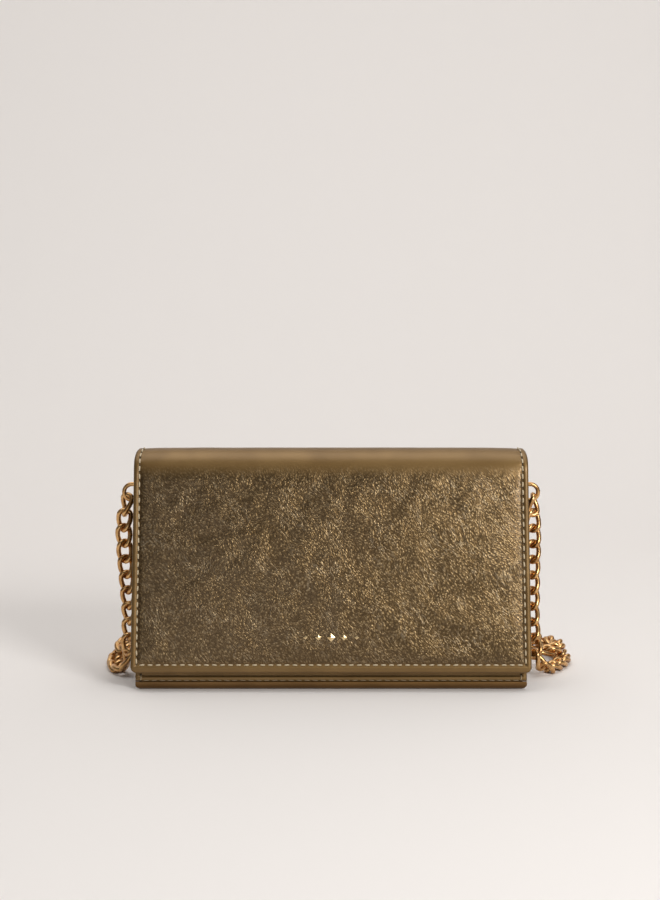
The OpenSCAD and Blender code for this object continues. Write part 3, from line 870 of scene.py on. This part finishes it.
def make_gusset(side, leather):
    """A side wall folded inwards, from the front lining to the back one."""
    edge_x = BODY_W / 2 - 2
    fold, round_from = 12.0, 0.86
    z = np.linspace(INSIDE_Z, GUSSET_H, 60)
    t = np.linspace(0, 1, 41)
    depth = FRONT_DEPTH + WALL_T
    y_front = FOOT_Y + depth / math.cos(LEAN) + (z - FLAP_FOOT_Z) * math.tan(LEAN)
    y = y_front[:, None] + (BACK_IN_Y - y_front)[:, None] * t
    inward = np.clip(1 - np.abs(2 * t - 1), 0, 1)
    rounded = (1 + round_from) / 2 - (1 - inward) ** 2 / (2 * (1 - round_from))
    inward = np.where(inward > round_from, rounded, inward)
    z_grid = spread(z, y)
    free = np.clip(np.minimum(t, 1 - t) * 6, 0, 1)
    sag = 0.56 * unrest(y, z_grid, 26, 7.0 + side) * free
    x = edge_x - fold * inward[None, :] + sag
    base = np.stack([side * x, y, z_grid], -1)
    end = z[-1] - z_grid
    grain = np.stack([y * 1.2, z_grid + 800], -1)
    facing = np.array([side, 0, 0.0])
    panel = Panel(base, 1.2, -fall(end, 0.5), -fall(end, 0.4), grain, facing)
    name = "left" if side < 0 else "right"
    made = panel.piece(f"gusset_{name}_leather", leather)
    place(made, "wallet", "outer_leather", f"gusset_{name}")


def make_pockets(lining, thread_material):
    """The zip pocket's wall and the card slots in front of it."""
    forward, width, gap = (0, -1, 0), 166, 0.25

    def upright(y):
        return lambda z: (np.full_like(z, y), z)

    zip_y = BACK_IN_Y - 4.8 - LINING_T
    made, _ = flat_panel(
        "zip_pocket_front_wall", lining, width, INSIDE_Z, 88, upright(zip_y), forward,
        LINING_T, layer=8.0,
    )
    place(made, "wallet", "lining_leather", "zip_pocket_wall")
    for i in range(4):
        y = zip_y - (i + 1) * (LINING_T + gap)
        top = 82 - 10 * i
        made, panel = flat_panel(
            f"card_slot_sheet_{i + 1}", lining, width, INSIDE_Z, top, upright(y), forward,
            LINING_T, layer=9.0 + i, corner=2.0,
        )
        place(made, "wallet", "lining_leather", f"card_slot_{i + 1}")
        seam = EDGE_STEPS.index(2.0)
        line = [part[seam:-seam] for part in panel.line(row=-1 - seam)]
        group = resample(*line, 3.2, 2.0)
        stitches = add_stitches(f"stitches_card_slot_{i + 1}", *group, thread_material, 0.18, 2.3)
        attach(stitches, "wallet")


def make_tab(side, leather):
    """A leather strap that loops round the ring's bar."""
    bar_x, loop_r, strap_t = BODY_W / 2 + 1.3, 1.9, 1.8
    bar_y = BACK_IN_Y - loop_r
    sewn_x, half_height = 86.0, 3.0
    loop = np.linspace(math.pi / 2, -math.pi * 0.96, 30)
    outline = [(sewn_x, BACK_IN_Y)]
    outline += [(bar_x + loop_r * math.cos(a), bar_y + loop_r * math.sin(a)) for a in loop]
    outline += [(bar_x - loop_r - 0.8, BACK_IN_Y - strap_t - 0.1), (sewn_x, BACK_IN_Y - strap_t)]
    outline = np.array(outline)
    toward = unit(outline.mean(axis=0) - outline)
    lower = [(-half_height, 0.35), (-half_height + 0.1, 0.12), (-half_height + 0.35, 0)]
    levels = lower + [(-level, inset) for level, inset in reversed(lower)]
    points = [
        (side * x, y, RING_Z + level)
        for level, inset in levels
        for x, y in outline + toward * inset
    ]
    faces = tube_faces(len(levels), len(outline), ends="capped")
    name = "left" if side < 0 else "right"
    made = add_mesh(f"ring_tab_{name}", points, faces if side > 0 else flipped(faces), leather)
    spread_grain(made, np.array([(x + y, z) for x, y, z in points]))
    place(made, "wallet", "outer_leather", f"tab_{name}")


def make_ornament(panel, metal):
    """Raised lozenges on the leather, low on the flap's middle."""
    sizes = (2.4, 3.4, 4.6, 3.4, 2.4)
    pitch, up, clear, tip = 6.5, 18.0, 0.1, 0.9
    # Each level's height on a lozenge, and its share of the lozenge's size.
    levels = ((0.0, 1.0), (0.4, 0.97), (0.52, 0.8))
    outer, normals = panel.outer.reshape(-1, 3), panel.base_normals.reshape(-1, 3)
    points, faces = [], []
    for i, size in enumerate(sizes):
        flat = np.array([(i - 2) * pitch, *front_place(up, 0)])
        nearest = int(np.argmin(np.linalg.norm(outer - flat, axis=1)))
        n = normals[nearest]
        centre = flat + n * (np.dot(outer[nearest] - flat, n) + clear)
        across = np.array([1.0, 0, 0])
        tall = np.cross(n, across)
        first = len(points)
        for lift, share in levels:
            reach = share * size / 2
            corners = (across, tall, -across, -tall)
            points.extend(centre + corner * reach + n * lift for corner in corners)
        top, peak = len(points) - 4, len(points)
        points.append(centre + n * tip)
        faces.extend(tube_faces(len(levels), 4, first))
        faces.extend((top + k, top + (k + 1) % 4, peak) for k in range(4))
    made = add_mesh("flap_lozenges", points, faces, metal)
    made.data.polygons.foreach_set("use_smooth", [False] * len(made.data.polygons))
    place(made, "flap", "bright_gold_metal", "flap_ornament")


# ---------- chain ----------

LINK_PITCH = 8.2
LINK_WIRE = 1.3
LINK_HALF = 5.4
LINK_BOW = 3.3
LINK_TWIST = 42
END_ROLLS = (62, 24, 6)
TURN_HIGH_Z = 22
TURN_LOW_Z = 6
ROUTE_LEFT = [
    (-0.1062, 0.019, 0.0934),
    (-0.1065, 0.019, 0.0905), (-0.1085, 0.0185, 0.08), (-0.108, 0.0175, 0.066), (-0.107, 0.016, 0.052),
    (-0.106, 0.0145, 0.038), (-0.1055, 0.012, 0.025), (-0.106, 0.0095, 0.014), (-0.108, 0.0095, 0.0065),
    (-0.111, 0.014, 0.0028), (-0.114, 0.022, 0.0025), (-0.1155, 0.032, 0.0025), (-0.1155, 0.043, 0.0025),
    (-0.112, 0.054, 0.0025), (-0.105, 0.062, 0.0025), (-0.095, 0.065, 0.0025), (-0.0855, 0.0605, 0.0025),
    (-0.0795, 0.052, 0.0025), (-0.0795, 0.042, 0.0025), (-0.0855, 0.0335, 0.0027), (-0.095, 0.0305, 0.0048),
    (-0.105, 0.033, 0.0074), (-0.112, 0.04, 0.0075), (-0.113, 0.05, 0.0075), (-0.108, 0.06, 0.0075),
    (-0.098, 0.0655, 0.0075), (-0.086, 0.066, 0.0075), (-0.076, 0.066, 0.005), (-0.067, 0.066, 0.0027),
    (-0.059, 0.066, 0.0025),
]
ROUTE_RIGHT = [
    (0.1055, 0.019, 0.0934),
    (0.1055, 0.019, 0.0905), (0.1055, 0.0185, 0.08), (0.1055, 0.0175, 0.066), (0.105, 0.016, 0.052),
    (0.105, 0.0145, 0.038), (0.105, 0.012, 0.025), (0.1065, 0.0095, 0.014), (0.1095, 0.0095, 0.0065),
    (0.114, 0.014, 0.0028), (0.119, 0.022, 0.0025), (0.1235, 0.032, 0.0025), (0.125, 0.043, 0.0025),
    (0.122, 0.054, 0.0025), (0.114, 0.062, 0.0025), (0.104, 0.0645, 0.0025), (0.094, 0.061, 0.0025),
    (0.0875, 0.0525, 0.0025), (0.0875, 0.042, 0.0025), (0.094, 0.0335, 0.0027), (0.104, 0.0305, 0.0048),
    (0.114, 0.033, 0.0074), (0.1215, 0.04, 0.0075), (0.1225, 0.05, 0.0075), (0.117, 0.06, 0.0075),
    (0.107, 0.0655, 0.0075), (0.096, 0.066, 0.0075), (0.084, 0.066, 0.0075), (0.071, 0.066, 0.0075),
    (0.059, 0.066, 0.0075),
]
HANK_Y = 48.0
HANK_LOOP_X = 51.5
HANK_LOOP_R = 18.0
HANK_RUN = 5.5
HANK_NECK_X = 18.0
LAYER_LOW = 2.5
LAYER_HIGH = 7.5


def curve_through(points, each=10):
    """A smooth line through given points."""
    p = np.array(points, float)
    p = np.concatenate([[2 * p[0] - p[1]], p, [2 * p[-1] - p[-2]]])
    line = []
    for a, b, c, d in zip(p, p[1:], p[2:], p[3:]):
        for k in range(each):
            t = k / each
            bent = (2 * a - 5 * b + 4 * c - d) * t**2 + (3 * b - a - 3 * c + d) * t**3
            line.append(0.5 * (2 * b + (c - a) * t + bent))
    line.append(p[-2])
    return np.array(line)


def hank_half(x):
    """How far the hank's runs are from its middle line, at a distance along it."""
    return HANK_RUN + (HANK_LOOP_R - HANK_RUN) * smooth_step(np.abs(x), HANK_NECK_X, HANK_LOOP_X)


def hank_line():
    """Once round the hank on the surface, then along its far side on top."""
    across = np.linspace(-HANK_LOOP_X, HANK_LOOP_X, 60)
    around = np.linspace(math.pi / 2, -math.pi / 2, 24)[1:-1]
    far = [(x, HANK_Y + hank_half(x), LAYER_LOW) for x in across]
    out = [(HANK_LOOP_R * math.cos(a), HANK_Y + HANK_LOOP_R * math.sin(a)) for a in around]
    right = [(HANK_LOOP_X + x, y, LAYER_LOW) for x, y in out]
    near = [(x, HANK_Y - hank_half(x), LAYER_LOW) for x in across[::-1]]
    climb = LAYER_LOW + (LAYER_HIGH - LAYER_LOW) * smooth_step(np.linspace(0, 1, len(out)), 0, 1)
    left = [(-HANK_LOOP_X - x, y, z) for (x, y), z in zip(reversed(out), climb)]
    top = [(x, HANK_Y + hank_half(x), LAYER_HIGH) for x in across]
    return np.array(far + right + near + left + top)


def chain_line():
    """The whole chain's middle line, from the left ring to the right one."""
    left = curve_through(np.array(ROUTE_LEFT) / MM)
    right = curve_through(np.array(ROUTE_RIGHT) / MM)[::-1]
    line = np.concatenate([left, hank_line(), right])
    steps = np.linalg.norm(np.diff(line, axis=0), axis=1)
    return line[np.concatenate([[True], steps > 0.05])]


def link_shape(around=28, sides=10):
    """One link at the origin along X: an oval wire, twisted a little less than a quarter turn."""
    turn = np.arange(around) * 2 * math.pi / around
    straight = (LINK_HALF - LINK_BOW) * np.clip(2.2 * np.cos(turn), -1, 1)
    x, wide = LINK_BOW * np.cos(turn) + straight, LINK_BOW * np.sin(turn)
    twist = math.radians(LINK_TWIST) * x / LINK_HALF
    centres = np.stack([x, wide * np.cos(twist), wide * np.sin(twist)], -1)
    ahead = unit(np.roll(centres, -1, axis=0) - np.roll(centres, 1, axis=0))
    outward = square_to(centres * (0.6, 1, 1), ahead)
    side = np.cross(ahead, outward)
    round_wire = np.arange(sides)[:, None] * 2 * math.pi / sides
    rings = outward[:, None] * np.cos(round_wire) + side[:, None] * np.sin(round_wire)
    points = (centres[:, None] + LINK_WIRE * rings).reshape(-1, 3)
    return points, np.array(tube_faces(around, sides, ends="loop"))


def make_chain(metal):
    """Links along the line, upright where it hangs and flat where it lies."""
    line = chain_line()
    along = distances(line)
    count = round(along[-1] / LINK_PITCH)
    pitch = along[-1] / count
    stops = pitch * np.arange(count + 1)
    joints = np.stack([np.interp(stops, along, line[:, k]) for k in range(3)], -1)
    shape, shape_faces = link_shape()
    points, faces = [], []
    for i, (a, b) in enumerate(zip(joints, joints[1:])):
        forward = unit(b - a)
        centre = (a + b) / 2
        lying = min(1, max(0, (TURN_HIGH_Z - centre[2]) / (TURN_HIGH_Z - TURN_LOW_Z)))
        normal = np.array([0, -(1 - lying), lying])
        from_end = min(i, count - 1 - i)
        roll = math.radians(END_ROLLS[from_end]) if from_end < len(END_ROLLS) else 0.0
        roll += math.radians(random.uniform(-7, 7))
        if i < count / 2:
            roll += math.radians(36) * float(smooth_step(-centre[2], -75, -30)) * (1 - lying)
        side = unit(np.cross(normal, forward))
        normal = np.cross(forward, side)
        across = side * math.cos(roll) + normal * math.sin(roll)
        up = np.cross(forward, across)
        points.append(centre + shape @ np.stack([forward, across, up]))
        faces.append(shape_faces + i * len(shape))
    made = add_mesh("chain", np.concatenate(points), np.concatenate(faces), metal)
    place(made, "wallet", "antique_gold_metal", "chain_left", "chain_right", "chain_hank")
    return made, line, along[-1]


def make_tie(leather):
    """A thin strap round the hank's middle, pressed close to the chain."""
    half, height, thick, corner = 10.0, 10.0, 0.8, 2.0
    strap_half, rounding = 3.0, 0.2
    right, top, middle_z = half - corner, height - corner, height / 2
    corners = ((-right, corner, 2), (right, corner, 3), (right, top, 0), (-right, top, 1))
    path = []
    for y, z, quarter in corners:
        turn = np.linspace(quarter * math.pi / 2, (quarter + 1) * math.pi / 2, 7)
        path += [(y + corner * math.cos(a), z + corner * math.sin(a)) for a in turn]
    flat_half, inner = strap_half - rounding, rounding - thick
    section = (
        (-strap_half, -rounding), (-flat_half, 0), (flat_half, 0), (strap_half, -rounding),
        (strap_half, inner), (flat_half, -thick), (-flat_half, -thick), (-strap_half, inner),
    )
    points = []
    for y, z in path:
        out = np.array([y, z - middle_z]) / math.hypot(y, z - middle_z)
        lift = out[1] if z > middle_z else 0
        for x, level in section:
            reach = level + thick
            points.append((x, HANK_Y + y + out[0] * reach, max(0.02, z + lift * reach)))
    faces = flipped(tube_faces(len(path), len(section), ends="loop"))
    made = add_mesh("hank_tie", points, faces, leather)
    spread_grain(made, np.array([(x, y + z) for x, y, z in points]))
    place(made, "wallet", "tie_leather", "chain_tie")
    return made


# ---------- hard parts kept from the frame ----------


def dress(material, *names):
    """Gives CAD nodes a finished material."""
    for name in names:
        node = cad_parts[name]
        node.data.materials.clear()
        node.data.materials.append(material)


# ---------- studio ----------


def add_world():
    """Faint light from all round; past the sweep's edges it shows as pale as the paper."""
    world = bpy.data.worlds.new("world")
    world.use_nodes = True
    tree = world.node_tree
    background = tree.nodes["Background"]
    background.inputs["Color"].default_value = (1.0, 0.97, 0.94, 1)
    path = tree.nodes.new("ShaderNodeLightPath")
    strength = tree.nodes.new("ShaderNodeMapRange")
    strength.inputs["To Min"].default_value = 0.12
    strength.inputs["To Max"].default_value = 0.7
    tree.links.new(path.outputs["Is Camera Ray"], strength.inputs["Value"])
    tree.links.new(strength.outputs["Result"], background.inputs["Strength"])
    bpy.context.scene.world = world


def add_studio():
    """A pale sweep under broad lights for floor and wall, with a key right and a weak fill."""
    depth, rise, front, half_width, radius = 1.1, 1.6, -2.2, 2.4, 0.7
    turn = [k * math.pi / 32 for k in range(1, 17)]
    floor_end = depth - radius
    path = [(front, 0.0), (floor_end, 0.0)]
    path += [(floor_end + radius * math.sin(a), radius - radius * math.cos(a)) for a in turn]
    path += [(depth, rise)]
    points = [(x, y, z) for y, z in path for x in (-half_width, half_width)]
    faces = [(2 * i, 2 * i + 1, 2 * i + 3, 2 * i + 2) for i in range(len(path) - 1)]
    paper = Shader("paper")
    paper.set(Base_Color=(0.8, 0.76, 0.728, 1), Roughness=0.9)
    sweep = add_mesh("sweep", np.array(points) / MM, faces, paper.material)
    for name, where, size, power, aim in (
        ("overhead", (0, 0.6, 2.0), 3.0, 24, (0, 0.6, 0)),
        ("wall", (0, 0.3, 2.0), 1.5, 13, (0, 1.1, 0.6)),
        ("key", (0.7, -1.0, 0.66), 0.4, 11, (0, 0, 0.06)),
        ("fill", (-0.25, -1.25, 0.25), 0.5, 0.9, (0, 0, 0.03)),
    ):
        data = bpy.data.lights.new(name, "AREA")
        data.size = size
        data.energy = power
        light = bpy.data.objects.new(name, data)
        light.location = where
        light.rotation_euler = (Vector(where) - Vector(aim)).to_track_quat("Z", "Y").to_euler()
        bpy.context.scene.collection.objects.link(light)
    add_world()
    bpy.context.scene.view_settings.view_transform = "Standard"


# ---------- the scene ----------

add_camera()

foil = foil_leather("foil_leather", (0.168, 0.096, 0.03), (0.212, 0.126, 0.043))
base_foil = foil_leather("base_foil_leather", (0.14, 0.068, 0.015), (0.18, 0.092, 0.024))
dark_lining = lining_leather()
gold = plated("antique_gold", (0.38, 0.19, 0.065), (0.72, 0.44, 0.19), 0.28)
bright_gold = plated("light_gold", (0.6, 0.42, 0.2), (0.85, 0.66, 0.38), 0.22)
steel = plated("plain_steel", (0.4, 0.4, 0.4), (0.62, 0.61, 0.6), 0.35)
seam_thread = thread("seam_thread", (0.52, 0.42, 0.27))
edge_thread = thread("edge_thread", (0.3, 0.22, 0.12))
lining_thread = thread("lining_thread", (0.12, 0.08, 0.05))
# Near-black colour for the discs that paint the shade inside the needle holes.
hole_shade_disc = plain("hole_shade_disc", (0.012, 0.008, 0.005), 0.9)

chain, chain_path, chain_length = make_chain(gold)
tie = make_tie(dark_lining)

strip_panel, strip_s, strip_cuts = make_strip(foil, dark_lining)
stitch_strip(strip_panel, strip_s, strip_cuts, seam_thread, hole_shade_disc)
make_front(foil, dark_lining, edge_thread, hole_shade_disc)
make_base(base_foil)
for gusset_side in (-1, 1):
    make_gusset(gusset_side, foil)
    make_tab(gusset_side, foil)
make_pockets(dark_lining, lining_thread)
make_ornament(strip_panel, bright_gold)

dress(gold, "d_ring_left", "d_ring_right")
dress(bright_gold, "zip_teeth", "zip_stops", "zip_slider", "zip_puller", "snap_socket", "snap_stud")
dress(steel, "snap_socket_washer", "snap_stud_washer")
dress(plain("magnet", (0.05, 0.05, 0.055), 0.5, 0.6), "snap_magnet")
board = plain("board", (0.42, 0.36, 0.27), 0.9)
dress(board, "back_board", "base_board", "front_board", "flap_board")
dress(plain("base_lining_leather", (0.05, 0.03, 0.02), 0.6), "base_lining")
dress(twill(), "zip_tape_front", "zip_tape_back")

add_studio()
